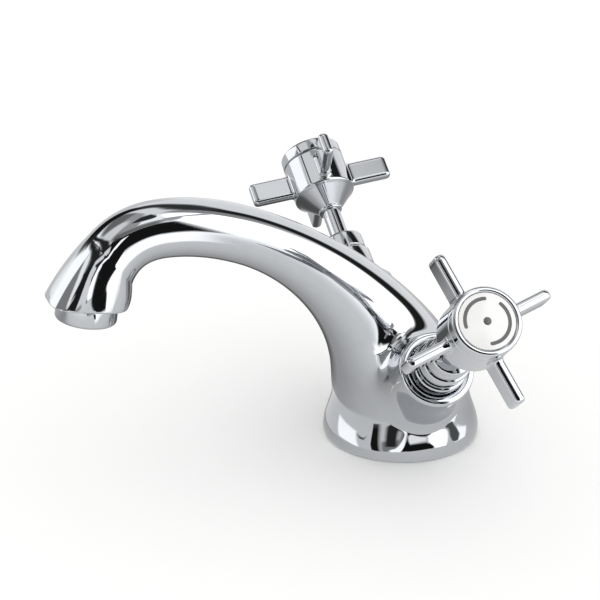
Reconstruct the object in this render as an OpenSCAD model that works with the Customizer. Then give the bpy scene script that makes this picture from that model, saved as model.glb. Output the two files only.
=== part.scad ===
// Basin mixer tap with two crosshead handles and a swan spout.
// The origin is the centre of the foot on the deck, +Z is up and the spout points along -Y.
// Seen from the front, the cold side is on the right (+X) and the hot side on the left (-X).

/* [Foot] */
// Diameter of the foot at its widest
foot_d = 54.5; // [52:0.5:60]
// Height of the widest part of the foot
foot_edge_z = 4; // [3:0.5:6]
// Depth of the rounding under the foot's edge
foot_round = 0.8; // [0.4:0.1:1.5]
// Diameter of the neck above the foot
neck_d = 46.8; // [45:0.2:48]
// Height at which the foot has drawn in to the neck
neck_z = 18; // [16:0.5:20]
// Inner diameter of the groove for the foot seal
seal_groove_d = 39; // [35:0.5:40]
// Width of the foot seal
foot_seal_w = 4; // [3:0.5:5]
// Thickness of the foot seal
foot_seal_t = 2.2; // [1.5:0.1:3]

/* [Deck fixing and inlets] */
// Diameter of the threaded hole for the fixing stud
stud_d = 8; // [6:1:8]
// Depth of the stud's hole
stud_depth = 14; // [10:1:15]
// Diameter of each threaded inlet
inlet_d = 10; // [8:1:10]
// Depth of each inlet's thread
inlet_depth = 12; // [9:1:12]
// Distance of each inlet from the middle
inlet_x = 11; // [10.5:0.1:12]
// Diameter of the drilled ways inside the casting
way_d = 7; // [5:0.5:7]

/* [Spout] */
// Distance of the crown in front of the foot's centre
crown_reach = 84; // [76:1:92]
// Height of the centre line at the crown
crown_z = 85.5; // [80:0.5:95]
// Diameter of the spout where it is slimmest
waist_d = 19.6; // [18:0.2:22]
// Distance of the outlet's middle in front of the foot's centre
outlet_reach = 110.7; // [106:0.1:116]
// Height of the outlet's middle
outlet_z = 62.7; // [58:0.5:68]
// Lean of the outlet's plane, the front edge being higher
outlet_lean = 9; // [0:1:15]
// Length of the outlet's rim from front to back
rim_l = 26; // [24:0.2:28]
// Distance of the rim's middle ahead of the outlet's middle
rim_ahead = 0.7; // [0.4:0.1:1.4]
// Width of the outlet's rim
rim_w = 21.4; // [21.4:0.2:26]
// Diameter of the waterway inside the spout
waterway_d = 11; // [8:0.5:12]

/* [Valve horns] */
// Angle of the valve axes above the deck
valve_lean = 37.5; // [34:0.5:42]
// Height at which the valve axes meet over the foot
valve_root_z = 10.4; // [9:0.1:12]
// Angle by which each valve axis is swept forward
valve_sweep = 3.4; // [0:0.2:6]
// Distance along the axis from the root to the valve seat
seat_at = 18; // [17:0.5:19]
// Distance along the axis from the root to the floor of the cup
cup_floor_at = 42; // [40:0.5:44]
// Depth of the cup at the end of the horn
cup_depth = 7; // [5:0.5:8]
// Outer diameter of the horn
horn_d = 23.4; // [23.4:0.2:26]
// Wall of the cup
cup_wall = 1.7; // [1.2:0.1:1.7]
// Diameter of the valve's thread
valve_thread_d = 18; // [17.6:0.2:18.4]
// Length of the valve's thread
valve_thread_l = 11; // [8:0.5:12]
// Diameter of the chamber below the thread
chamber_d = 17.2; // [16.4:0.2:17.4]

/* [Valves] */
// Thickness of the seat seal
seat_seal_t = 2; // [1.5:0.1:2.5]
// Thickness of each ceramic disc
disc_t = 3; // [2.5:0.1:3.5]
// Diameter of the ceramic discs
disc_d = 12.8; // [11.6:0.2:13]
// Outer diameter of the housing's skirt
skirt_d = 15; // [14.6:0.1:15.2]
// Size of the housing's hexagon across its flats
hex_af = 16; // [14:0.5:17]
// Height of the hexagon
hex_h = 4.5; // [3:0.5:5]
// Height of the threaded neck above the hexagon
housing_neck_h = 6.5; // [5:0.5:7]
// Outer diameter of the threaded neck
housing_neck_d = 13; // [12:0.2:13.6]
// Diameter of the spindle in its bearing
spindle_d = 8; // [7.4:0.2:8.4]
// Diameter of the spindle where it shows
spindle_neck_d = 6.6; // [6:0.2:7]
// Size of the spindle's square across its flats
square_af = 4.6; // [4:0.1:4.6]
// Length of the spindle's square
square_l = 9.5; // [8:0.5:9.5]
// Thickness of the rubber rings on the spindle
ring_t = 1.06; // [0.9:0.02:1.2]

/* [Shrouds] */
// Height of the shroud above the hexagon
shroud_h = 22.8; // [21.8:0.2:24]
// Diameter of the flat on top of the bell
bell_top_d = 9; // [8.6:0.2:10]
// Diameter of the bell at its shoulder
shoulder_d = 16.2; // [15.6:0.2:16.8]
// Height of the rounding at the bell's shoulder
shoulder_h = 3.1; // [2.4:0.1:4]
// Diameter of the bell's mouth, where the stepped rings begin
bell_d = 17.2; // [16.8:0.1:17.6]
// Height of the bell above the stepped rings
bell_h = 8.8; // [8:0.2:10]
// Number of stepped rings
step_count = 3; // [2:1:4]
// Growth in radius from one stepped ring to the next
step_out = 0.3; // [0.1:0.05:0.3]
// Depth of the groove above each stepped ring
step_groove = 1; // [0.5:0.1:1.1]

/* [Crossheads] */
// Distance along the axis from the root to the middle of the arms
arms_at = 95; // [92:0.5:98]
// Reach of each arm from the axis
arm_reach = 26.5; // [24:0.5:29]
// Thickness of the arms
arm_t = 3.8; // [3.2:0.1:5]
// Depth of the arms along the axis
arm_depth = 10; // [8:0.2:11]
// Rounding at the ends of the arms
arm_round = 2; // [1:0.2:3]
// Number of arms on each crosshead
arm_count = 4; // [3:1:6]
// Turn of the cold crosshead when it is shut
cold_turn = 20; // [0:1:89]
// Turn of the hot crosshead when it is shut
hot_turn = 81; // [0:1:89]
// Diameter of the hub
hub_d = 22.6; // [22:0.2:24]
// Height of the hub's drum in front of the arms' middle
drum_front = 8; // [7:0.5:9]
// Height of the hub's drum behind the arms' middle
drum_back = 6.5; // [5:0.5:7.5]
// Length of the hub behind the arms' middle
hub_back = 14; // [13:0.5:15]
// Diameter of the hub's tail
hub_tail_d = 8.8; // [8.6:0.1:10]
// Thickness of the web under the handle screw
web_t = 2; // [1.5:0.1:3]
// Diameter of the hollow in the front of the hub
hub_hollow_d = 15; // [12:0.5:16]

/* [Index] */
// Height of the index bezel
bezel_h = 4.6; // [4:0.1:5.4]
// Diameter of the index disc
index_d = 18.4; // [17:0.1:18.8]
// Thickness of the index disc
index_t = 1.8; // [1.2:0.1:2]
// Length of the bezel's spigot inside the hub
spigot_l = 3.5; // [2.5:0.5:4]
// Diameter of the handle screw's thread
screw_d = 3; // [2.5:0.1:3]
// Length of the handle screw below its head
screw_l = 10; // [8:0.5:11]
// Diameter of the handle screw's head
screw_head_d = 6; // [5:0.2:7]
// Height of the handle screw's head
screw_head_h = 2.2; // [1.8:0.1:2.6]

/* [Aerator] */
// Diameter of the aerator's thread
aerator_d = 17; // [16.4:0.2:17.6]
// Depth of the aerator's thread
aerator_depth = 7; // [6:0.5:7.5]
// Diameter of the visible collar
collar_d = 20.6; // [20:0.2:21]
// Height of the visible collar
collar_h = 6; // [4:0.2:7]
// Rounding of the collar's lower edge
collar_round = 1.4; // [0.8:0.1:1.6]
// Thickness of the aerator's washer
washer_t = 1.5; // [1:0.1:2]
// Pitch of the openings in the flow straightener
cell_pitch = 2.4; // [2.2:0.1:3]
// Wall between the openings in the flow straightener
cell_wall = 0.7; // [0.5:0.1:0.9]

/* [Fits] */
// Radial clearance of screwed and seated pieces
fit = 0.05; // [0.02:0.01:0.1]
// Radial clearance around the spindle where nothing bears
free = 0.3; // [0.25:0.05:0.4]

/* [Hidden] */

chrome = [0.80, 0.82, 0.84];
brass = [0.78, 0.66, 0.36];
rubber = [0.13, 0.13, 0.14];
ceramic = [0.93, 0.91, 0.86];
plastic = [0.86, 0.87, 0.88];
enamel = [0.95, 0.94, 0.90];

// A small length that takes a cut past the face it opens
past = 1;
round_fn = 96;

// The spout's centre line: two cubic curves in the YZ plane that meet at the crown
line_foot = [0, foot_edge_z];
line_rise = 46;
line_back = 37;
line_ahead = 16;
line_drop = 15;
nozzle_slant = 28;
crown = [-crown_reach, crown_z];
outlet = [-outlet_reach, outlet_z];
rise_curve = [line_foot, line_foot + [0, line_rise], crown + [line_back, 0], crown];
drop_curve = [
    crown, crown - [line_ahead, 0],
    outlet + line_drop * [sin(nozzle_slant), cos(nozzle_slant)], outlet
];

// The spout tapers from the neck to its waist, which it reaches this far along the first curve
waist_share = 0.76;
// The spout swells this much in radius from the neck of the taper
taper_r = 21.3;
// The barrel ends and the nozzle begins this far along the second curve
crease_share = 0.58;
// Lean of the nozzle's first section
crease_lean = 128;
// Radius of the barrel where the nozzle begins
crease_r = waist_d / 2 + 0.9;
// Squareness of the nozzle's rim: 2 is an ellipse, more is squarer
rim_power = 3.6;
spout_sides = 28;
rise_steps = 17;
drop_steps = 7;
nozzle_steps = 2;

function cubic(p, t) =
    pow(1 - t, 3) * p[0] + 3 * pow(1 - t, 2) * t * p[1]
    + 3 * (1 - t) * t * t * p[2] + pow(t, 3) * p[3];
function heading(p, t) =
    pow(1 - t, 2) * (p[1] - p[0]) + 2 * (1 - t) * t * (p[2] - p[1]) + t * t * (p[3] - p[2]);
// Lean of a section: 0 faces up, 90 faces forward and 180 faces down
function lean_of(d) = atan2(-d[0], d[1]);
function mix(a, b, s) = a + (b - a) * s;
function taper(t) = min(neck_d / 2, waist_d / 2 + taper_r * pow(max(0, 1 - t / waist_share), 2));

// A section of the spout: place in YZ, lean, half width, half depth and squareness
function rise_section(t) =
    [cubic(rise_curve, t), lean_of(heading(rise_curve, t)), taper(t), taper(t), 2];
function drop_section(t) =
    let (s = t / crease_share, r = mix(waist_d / 2, crease_r, s * s))
    [cubic(drop_curve, t), mix(90, crease_lean, s), r, r, 2];
crease = drop_section(crease_share);
rim_middle = outlet + rim_ahead * [-cos(outlet_lean), sin(outlet_lean)];
rim = [rim_middle, 180 - outlet_lean, rim_w / 2, rim_l / 2, rim_power];
function nozzle_section(s) = [for (i = [0:4]) mix(crease[i], rim[i], s)];

rise_start = 0.04;
spout_sections = concat(
    [for (i = [0:rise_steps]) rise_section(mix(rise_start, 1, i / rise_steps))],
    [for (i = [1:drop_steps]) drop_section(crease_share * i / drop_steps)],
    [for (i = [1:nozzle_steps]) nozzle_section(i / nozzle_steps)]
);

function squared(c, power) = sign(c) * pow(abs(c), 2 / power);
function section_point(s, a) =
    let (across = s[2] * squared(cos(a), s[4]), up = s[3] * squared(sin(a), s[4]))
    [across, s[0][0] + up * cos(s[1]), s[0][1] + up * sin(s[1])];
spout_points = [
    for (s = spout_sections, j = [0:spout_sides - 1]) section_point(s, 360 * j / spout_sides)
];
section_count = len(spout_sections);
function at(i, j) = i * spout_sides + (j % spout_sides);
spout_faces = concat(
    [[for (j = [0:spout_sides - 1]) j]],
    [for (i = [0:section_count - 2], j = [0:spout_sides - 1]) [at(i, j), at(i + 1, j), at(i + 1, j + 1)]],
    [for (i = [0:section_count - 2], j = [0:spout_sides - 1]) [at(i, j), at(i + 1, j + 1), at(i, j + 1)]],
    [[for (j = [spout_sides - 1:-1:0]) at(section_count - 1, j)]]
);

// Places along a valve's axis, counted from the root
horn_end_at = cup_floor_at + cup_depth;
chamber_top_at = cup_floor_at - valve_thread_l;
fixed_disc_at = seat_at + seat_seal_t;
turning_disc_at = fixed_disc_at + disc_t;
spindle_foot_at = turning_disc_at + disc_t;
spindle_foot_t = 2.5;
spindle_foot_d = disc_d - 1.6;
bearing_at = spindle_foot_at + spindle_foot_t + free;
hex_top_at = cup_floor_at + hex_h;
housing_top_at = hex_top_at + housing_neck_h;
circlip_t = 0.8;
circlip_at = housing_top_at + free;
shoulder_at = circlip_at + circlip_t + 1.4;
hub_end_at = arms_at - hub_back;
square_at = hub_end_at + 1.5;
square_end_at = square_at + square_l;
web_at = square_end_at + free;
hollow_at = web_at + web_t;
drum_end_at = arms_at + drum_front;
index_at = drum_end_at + bezel_h - index_t - 0.2;
cup_d = horn_d - 2 * cup_wall;
skirt_bore_d = disc_d + 0.6;
tang_w = 3;
tang_h = 1;
ring_groove_w = 1.6;
ring_groove_r = spindle_d / 2 - ring_t - 0.04;
ring_places = [bearing_at + 5.5, bearing_at + 9.5];

// Puts a piece on the valve axis of one side: 1 is cold, -1 is hot
module on_valve(side) {
    translate([0, 0, valve_root_z]) rotate([0, 0, -side * valve_sweep])
        rotate([0, side * (90 - valve_lean), 0]) children();
}

// Puts a piece at the outlet, with its +Z pointing out of the nozzle
module at_outlet() {
    translate([0, -outlet_reach, outlet_z]) rotate([180 - outlet_lean, 0, 0]) children();
}

// A straight round rod along Z, from one height to another
module rod(d, from, to) {
    translate([0, 0, from]) cylinder(d = d, h = to - from, $fn = round_fn);
}

// A ring along Z
module ring(outer, inner, from, to) {
    difference() {
        rod(outer, from, to);
        rod(inner, from - past, to + past);
    }
}

// The foot's turned outline, drawn in from its widest to the neck on a smooth curve
module foot() {
    edge_steps = 6;
    draw_steps = 12;
    r = foot_d / 2;
    rotate_extrude($fn = round_fn) polygon(concat(
        [[0, 0]],
        [for (i = [0:edge_steps]) let (a = 90 * i / edge_steps)
            [r - foot_round * (1 - sin(a)), foot_edge_z * (1 - cos(a))]],
        [for (i = [1:draw_steps]) let (s = i / draw_steps)
            [mix(neck_d / 2, r, (1 + cos(180 * s)) / 2), mix(foot_edge_z, neck_z, s)]],
        [[0, neck_z]]
    ));
}

module spout() {
    polyhedron(points = spout_points, faces = spout_faces, convexity = 6);
}

// The horn's turned outline: a straight barrel that flares where it leaves the foot
module horn() {
    flare_r = 12;
    flare_turn = 45;
    flare_steps = 6;
    lip = 0.5;
    r = horn_d / 2;
    rotate_extrude($fn = round_fn) polygon(concat(
        [[0, horn_end_at], [r - lip, horn_end_at], [r, horn_end_at - lip]],
        [for (i = [0:flare_steps]) let (a = flare_turn * i / flare_steps)
            [r + flare_r * (1 - cos(a)), seat_at + flare_r * (sin(flare_turn) - sin(a))]],
        [[0, seat_at]]
    ));
}

// The cuts that one valve needs in the casting: cup, thread, chamber, seat and inlet way
module valve_cuts() {
    rod(cup_d, cup_floor_at, horn_end_at + past);
    rod(valve_thread_d, chamber_top_at, cup_floor_at + past);
    rod(chamber_d, seat_at, chamber_top_at + past);
    rod(way_d, inlet_x / cos(valve_lean), seat_at + past);
}

// A round way in the casting's middle plane between two places given in YZ, with a wider elbow
elbow = 0.4;
module way(a, b, d) {
    run = b - a;
    translate([0, a[0], a[1]]) rotate([lean_of(run), 0, 0]) cylinder(d = d, h = norm(run), $fn = 48);
    translate([0, b[0], b[1]]) sphere(d = d + elbow, $fn = 48);
}

mixing_z = valve_root_z + 17.6;
waterway_stops = concat(
    [[0, mixing_z]],
    [for (t = [0.32, 0.5, 0.68, 0.85, 1]) cubic(rise_curve, t)],
    [for (t = [0.35, 0.65]) cubic(drop_curve, t)],
    [outlet - (aerator_depth + washer_t) * [-sin(180 - outlet_lean), cos(180 - outlet_lean)]]
);

module waterway() {
    for (i = [0:len(waterway_stops) - 2]) way(waterway_stops[i], waterway_stops[i + 1], waterway_d);
    translate([0, 0, mixing_z]) sphere(d = waterway_d + elbow, $fn = 48);
    cross_l = 2 * seat_at;
    cross_d = 6;
    translate([-cross_l / 2, 0, mixing_z]) rotate([0, 90, 0])
        cylinder(d = cross_d, h = cross_l, $fn = 48);
}

inlet_top_z = valve_root_z + inlet_x * tan(valve_lean);

module foot_cuts() {
    translate([0, 0, -past]) difference() {
        cylinder(d = seal_groove_d + 2 * foot_seal_w + 4 * fit, h = foot_seal_t + past, $fn = round_fn);
        cylinder(d = seal_groove_d, h = foot_seal_t + past, $fn = round_fn);
    }
    rod(stud_d, -past, stud_depth);
    for (side = [-1, 1]) translate([side * inlet_x, 0, 0]) {
        rod(inlet_d, -past, inlet_depth);
        rod(way_d, inlet_depth - past, inlet_top_z);
    }
}

module body() {
    color(chrome) difference() {
        union() {
            foot();
            spout();
            for (side = [-1, 1]) on_valve(side) horn();
        }
        foot_cuts();
        for (side = [-1, 1]) on_valve(side) valve_cuts();
        waterway();
        at_outlet() rod(aerator_d, -aerator_depth - washer_t, past);
    }
}

module foot_seal() {
    inner = seal_groove_d + 2 * fit;
    color(rubber) ring(inner + 2 * foot_seal_w, inner, 0, foot_seal_t);
}

module aerator_washer() {
    color(rubber) at_outlet()
        ring(aerator_d - 2 * fit, waterway_d, -aerator_depth - washer_t, -aerator_depth);
}

aerator_bore_d = aerator_d - 2.6;
screen_t = 0.6;

module aerator_housing() {
    r = collar_d / 2;
    lip = 0.8;
    color(chrome) at_outlet() difference() {
        union() {
            rod(aerator_d - 2 * fit, -aerator_depth, past);
            rotate_extrude($fn = round_fn) polygon(concat(
                [[0, 0], [r, 0]],
                [for (i = [0:5]) let (a = 18 * i)
                    [r - collar_round * (1 - cos(a)), collar_h - collar_round * (1 - sin(a))]],
                [[0, collar_h]]
            ));
        }
        rod(aerator_bore_d, -aerator_depth - past, collar_h - lip);
        rod(aerator_bore_d - 2 * lip, 0, collar_h + past);
    }
}

// Square openings on a grid that stay inside a circle
module cells(d, from, to) {
    half = floor(d / 2 / cell_pitch);
    size = cell_pitch - cell_wall;
    for (i = [-half:half], j = [-half:half])
        if (norm([i, j]) * cell_pitch + size * 0.72 < d / 2)
            translate([i * cell_pitch - size / 2, j * cell_pitch - size / 2, from])
                cube([size, size, to - from]);
}

module aerator_insert() {
    top = screen_t - aerator_depth;
    end = collar_h - 1.6;
    d = aerator_bore_d - 2 * fit;
    rim_t = 1;
    color(plastic) at_outlet() difference() {
        rod(d, top, end);
        cells(d - 2 * rim_t, top - past, end + past);
    }
}

module aerator_screen() {
    d = aerator_bore_d - 2 * fit;
    rim_t = 1.4;
    color(brass) at_outlet() difference() {
        rod(d, -aerator_depth, screen_t - aerator_depth);
        cells(d - 2 * rim_t, -aerator_depth - past, past - aerator_depth);
    }
}

module seat_seal(side) {
    color(rubber) on_valve(side) ring(skirt_d - 1.4, way_d + 0.4, seat_at, fixed_disc_at);
}

// Two round ports on opposite sides of a disc
module disc_ports(from, to) {
    port_d = 3.4;
    port_r = disc_d / 4;
    for (a = [0, 180]) rotate([0, 0, a]) translate([0, port_r, 0]) rod(port_d, from, to);
}

module fixed_disc(side) {
    color(ceramic) on_valve(side) difference() {
        rod(disc_d, fixed_disc_at, turning_disc_at);
        disc_ports(fixed_disc_at - past, turning_disc_at + past);
    }
}

// Shut, the turning disc's ports lie a quarter turn away from the fixed disc's ports
module turning_disc(side) {
    slot_l = disc_d + 2 * past;
    slot_w = tang_w + 2 * fit;
    color(ceramic) on_valve(side) difference() {
        rod(disc_d, turning_disc_at, spindle_foot_at);
        rotate([0, 0, 90]) disc_ports(turning_disc_at - past, spindle_foot_at + past);
        translate([-slot_w / 2, -slot_l / 2, spindle_foot_at - tang_h])
            cube([slot_w, slot_l, tang_h + past]);
    }
}

module valve_housing(side) {
    window_w = 6;
    color(brass) on_valve(side) difference() {
        union() {
            rod(skirt_d, fixed_disc_at, chamber_top_at + past);
            rod(valve_thread_d - 2 * fit, chamber_top_at, cup_floor_at);
            translate([0, 0, cup_floor_at]) cylinder(d = hex_af / cos(30), h = hex_h, $fn = 6);
            rod(housing_neck_d, hex_top_at - past, housing_top_at);
        }
        rod(skirt_bore_d, fixed_disc_at - past, bearing_at);
        rod(spindle_d + 2 * fit, bearing_at - past, housing_top_at + past);
        translate([-skirt_d, -window_w / 2, spindle_foot_at + 0.4])
            cube([2 * skirt_d, window_w, chamber_top_at - spindle_foot_at - 0.6]);
    }
}

module spindle(side) {
    color(chrome) on_valve(side) difference() {
        union() {
            rod(spindle_foot_d, spindle_foot_at, spindle_foot_at + spindle_foot_t);
            translate([-tang_w / 2, -spindle_foot_d / 2 + 1, spindle_foot_at - tang_h])
                cube([tang_w, spindle_foot_d - 2, tang_h + past]);
            rod(spindle_d, spindle_foot_at + past, shoulder_at);
            rod(spindle_neck_d, shoulder_at - past, square_at);
            translate([-square_af / 2, -square_af / 2, square_at - past])
                cube([square_af, square_af, square_l + past]);
        }
        for (p = ring_places)
            ring(spindle_d + 2, 2 * ring_groove_r, p - ring_groove_w / 2, p + ring_groove_w / 2);
        ring(spindle_d + 2, spindle_d - 1.6, circlip_at, circlip_at + circlip_t + fit);
        rod(screw_d, square_end_at - screw_l + web_t, square_end_at + past);
    }
}

module spindle_rings(side) {
    color(rubber) on_valve(side) for (p = ring_places) translate([0, 0, p])
        rotate_extrude($fn = round_fn) translate([ring_groove_r + 0.02 + ring_t / 2, 0])
            circle(d = ring_t, $fn = 32);
}

module circlip(side) {
    gap_w = 3;
    outer = housing_neck_d - 3;
    color(brass) on_valve(side) difference() {
        ring(outer, spindle_d - 1.5, circlip_at, circlip_at + circlip_t);
        translate([0, -gap_w / 2, circlip_at - past]) cube([outer, gap_w, circlip_t + 2 * past]);
    }
}

shroud_top_at = hex_top_at + shroud_h;
bell_at = shroud_top_at - bell_h;
step_h = (bell_at - hex_top_at) / step_count;
shroud_hole_d = spindle_neck_d + 2 * free;
shroud_bore_d = housing_neck_d + 2 * fit;

// The shroud's turned outline: a bell over stepped rings, each wider than the one above
module shroud(side) {
    shoulder_steps = 8;
    groove_w = step_h * 0.3;
    top_r = bell_top_d / 2;
    inner_d = shroud_bore_d - 1.5;
    color(chrome) on_valve(side) difference() {
        rotate_extrude($fn = round_fn) polygon(concat(
            [[0, shroud_top_at]],
            [for (i = [0:shoulder_steps]) let (a = 90 * i / shoulder_steps)
                [mix(top_r, shoulder_d / 2, sin(a)), shroud_top_at - shoulder_h * (1 - cos(a))]],
            [[bell_d / 2, bell_at]],
            [for (k = [0:step_count - 1]) let (z = bell_at - k * step_h, out = bell_d / 2 + k * step_out)
                each [[out - step_groove, z], [out - step_groove, z - groove_w],
                    [out, z - groove_w - 0.2], [out, z - step_h]]],
            [[0, hex_top_at]]
        ));
        rod(shroud_bore_d, hex_top_at - past, housing_top_at + 0.5);
        rod(inner_d, housing_top_at, bell_at + 1);
        translate([0, 0, bell_at + 1])
            cylinder(d1 = inner_d, d2 = shroud_hole_d, h = bell_h / 2, $fn = round_fn);
        rod(shroud_hole_d, bell_at, shroud_top_at + past);
    }
}

// The arms: bars with round edges, cut round at their ends
module arms() {
    r = arm_reach;
    half = arm_depth / 2;
    intersection() {
        for (i = [0:arm_count - 1]) rotate([0, 0, 360 * i / arm_count]) rotate([0, 90, 0])
            linear_extrude(height = arm_reach + past) {
                square([arm_depth - arm_t, arm_t], center = true);
                for (s = [-1, 1]) translate([s * (arm_depth - arm_t) / 2, 0]) circle(d = arm_t, $fn = 40);
            }
        rotate_extrude($fn = round_fn) polygon(concat(
            [[0, -half]],
            [for (i = [0:4]) let (a = 22.5 * i)
                [r - arm_round * (1 - sin(a)), -half + arm_round * (1 - cos(a))]],
            [for (i = [0:4]) let (a = 22.5 * i)
                [r - arm_round * (1 - cos(a)), half - arm_round * (1 - sin(a))]],
            [[0, half]]
        ));
    }
}

module crosshead(side, turn) {
    r = hub_d / 2;
    tail_l = 1.2;
    edge = 0.6;
    socket_af = square_af + 2 * fit;
    color(chrome) on_valve(side) difference() {
        union() {
            translate([0, 0, arms_at]) rotate([0, 0, turn]) arms();
            rotate_extrude($fn = round_fn) polygon([
                [0, hub_end_at], [hub_tail_d / 2, hub_end_at], [hub_tail_d / 2, hub_end_at + tail_l],
                [r - 2 * edge, arms_at - drum_back - edge], [r, arms_at - drum_back + edge],
                [r, drum_end_at - edge / 2], [r - edge / 2, drum_end_at], [0, drum_end_at]
            ]);
        }
        rod(spindle_neck_d + 2 * fit, hub_end_at - past, square_at);
        translate([-socket_af / 2, -socket_af / 2, square_at - past])
            cube([socket_af, socket_af, web_at - square_at + past]);
        rod(screw_d + 0.4, web_at - past, hollow_at + past);
        rod(hub_hollow_d, hollow_at, drum_end_at + past);
    }
}

module handle_screw(side) {
    drive_af = 2.5;
    color(brass) on_valve(side) difference() {
        union() {
            rod(screw_d - 2 * fit, hollow_at - screw_l, hollow_at + past);
            rod(screw_head_d, hollow_at, hollow_at + screw_head_h);
        }
        translate([0, 0, hollow_at + screw_head_h / 2])
            cylinder(d = drive_af / cos(30), h = screw_head_h, $fn = 6);
    }
}

module index_bezel(side) {
    r = hub_d / 2;
    top = drum_end_at + bezel_h;
    edge = 1;
    spigot_wall = 1.5;
    color(chrome) on_valve(side) difference() {
        union() {
            rotate_extrude($fn = round_fn) polygon(concat(
                [[0, drum_end_at], [r - 0.4, drum_end_at], [r, drum_end_at + 0.4]],
                [for (i = [0:4]) let (a = 22.5 * i)
                    [r - edge * (1 - cos(a)), top - edge * (1 - sin(a))]],
                [[0, top]]
            ));
            rod(hub_hollow_d - 2 * fit, drum_end_at - spigot_l, drum_end_at + past);
        }
        rod(index_d + 2 * fit, index_at, top + past);
        rod(hub_hollow_d - 2 * spigot_wall, drum_end_at - spigot_l - past, index_at - 1);
    }
}

module index(side) {
    color(enamel) on_valve(side) rod(index_d, index_at, index_at + index_t);
}

body();
foot_seal();
aerator_washer();
aerator_housing();
aerator_insert();
aerator_screen();
seat_seal(1);  // cold_seat_seal
fixed_disc(1);  // cold_fixed_disc
turning_disc(1);  // cold_turning_disc
valve_housing(1);  // cold_valve_housing
spindle(1);  // cold_spindle
spindle_rings(1);  // cold_spindle_rings
circlip(1);  // cold_circlip
shroud(1);  // cold_shroud
crosshead(1, cold_turn);  // cold_crosshead
handle_screw(1);  // cold_handle_screw
index_bezel(1);  // cold_index_bezel
index(1);  // cold_index
seat_seal(-1);  // hot_seat_seal
fixed_disc(-1);  // hot_fixed_disc
turning_disc(-1);  // hot_turning_disc
valve_housing(-1);  // hot_valve_housing
spindle(-1);  // hot_spindle
spindle_rings(-1);  // hot_spindle_rings
circlip(-1);  // hot_circlip
shroud(-1);  // hot_shroud
crosshead(-1, hot_turn);  // hot_crosshead
handle_screw(-1);  // hot_handle_screw
index_bezel(-1);  // hot_index_bezel
index(-1);  // hot_index
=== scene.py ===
import math
import bpy
import numpy as np
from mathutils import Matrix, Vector


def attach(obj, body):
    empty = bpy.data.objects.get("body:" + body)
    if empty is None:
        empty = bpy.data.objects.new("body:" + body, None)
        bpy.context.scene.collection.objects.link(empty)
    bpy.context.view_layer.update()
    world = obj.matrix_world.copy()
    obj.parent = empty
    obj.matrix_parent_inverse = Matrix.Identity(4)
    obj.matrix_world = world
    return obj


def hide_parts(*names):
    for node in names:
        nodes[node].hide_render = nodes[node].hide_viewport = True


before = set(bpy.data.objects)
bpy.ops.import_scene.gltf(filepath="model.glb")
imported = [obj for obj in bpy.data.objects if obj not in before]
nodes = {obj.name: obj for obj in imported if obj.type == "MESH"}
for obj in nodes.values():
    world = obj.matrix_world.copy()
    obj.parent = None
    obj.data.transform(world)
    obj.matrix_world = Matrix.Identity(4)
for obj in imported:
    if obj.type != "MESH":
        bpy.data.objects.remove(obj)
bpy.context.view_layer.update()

sides = {"cold": 1, "hot": -1}  # cold is on +X, hot on -X
mm = 0.001  # shapes are worked out in millimetres and scaled when a mesh is made


def mix(a, b, s):
    return a + (b - a) * s


def smoothStep(low, high, x):
    s = np.clip((x - low) / (high - low), 0, 1)
    return s * s * s * (s * (s * 6 - 15) + 10)


def softMin(a, b, k):  # joins two shapes with a fillet about as wide as k
    h = np.maximum(k - np.abs(a - b), 0) / k
    return np.minimum(a, b) - h * h * h * k / 6


def softMax(a, b, k):
    return -softMin(-a, -b, k)


def hexLinear(code):
    code = code.lstrip("#")
    out = []
    for i in (0, 2, 4):
        c = int(code[i:i + 2], 16) / 255
        out.append(c / 12.92 if c <= 0.04045 else ((c + 0.055) / 1.055) ** 2.4)
    return (*out, 1.0)


# a node with its settings, links into some of its sockets and plain values for others
def addNode(tree, kind, settings=None, links=None, values=None):
    node = tree.nodes.new(kind)
    for key, value in (settings or {}).items():
        setattr(node, key, value)
    for key, value in (values or {}).items():
        node.inputs[key].default_value = value
    for key, source in (links or {}).items():
        tree.links.new(source, node.inputs[key])
    return node


def newMaterial(name):
    material = bpy.data.materials.new(name)
    material.use_nodes = True
    tree = material.node_tree
    tree.nodes.clear()
    out = tree.nodes.new("ShaderNodeOutputMaterial")
    return material, tree, out


# what every finish here shares: a pattern that moves it between two close tones and two roughnesses,
# and a height that bends the light
def finishSurface(tree, out, pattern, height, look, values):
    low, high = look.get("patternSpan", (0.0, 1.0))
    smooth, rough = look["roughness"]
    tint = addNode(tree, "ShaderNodeMix", {"data_type": "RGBA"}, {"Factor": pattern.outputs["Fac"]}, {
        "A": hexLinear(look["colour"]), "B": hexLinear(look["shade"])})
    gloss = addNode(tree, "ShaderNodeMapRange", links={"Value": pattern.outputs["Fac"]}, values={
        "From Min": low, "From Max": high, "To Min": smooth, "To Max": rough})
    bump = addNode(tree, "ShaderNodeBump", links={"Height": height.outputs["Fac"]}, values={
        "Strength": look["bump"], "Distance": look["depth"] * mm})
    shader = addNode(tree, "ShaderNodeBsdfPrincipled", values=values, links={
        "Base Color": tint.outputs["Result"], "Roughness": gloss.outputs["Result"],
        "Normal": bump.outputs["Normal"]})
    tree.links.new(shader.outputs["BSDF"], out.inputs["Surface"])


chromeLook = {
    "colour": "#C6C8CB",     # bright nickel-chrome plate, a touch cool
    "shade": "#BCBFC3",      # where the polish is a little thinner
    "roughness": (0.020, 0.045),  # wiped clean, and under the film
    "waveSize": 14.0,        # mm, the slow waviness left by the polishing belt
    "depth": 0.006,          # mm, of that waviness
    "bump": 1.0,
    "wipeSize": 5.0,         # mm, patches of a faint wiped film
    "patternSpan": (0.3, 0.7),    # the part of the film's noise over which the roughness changes
}


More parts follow.
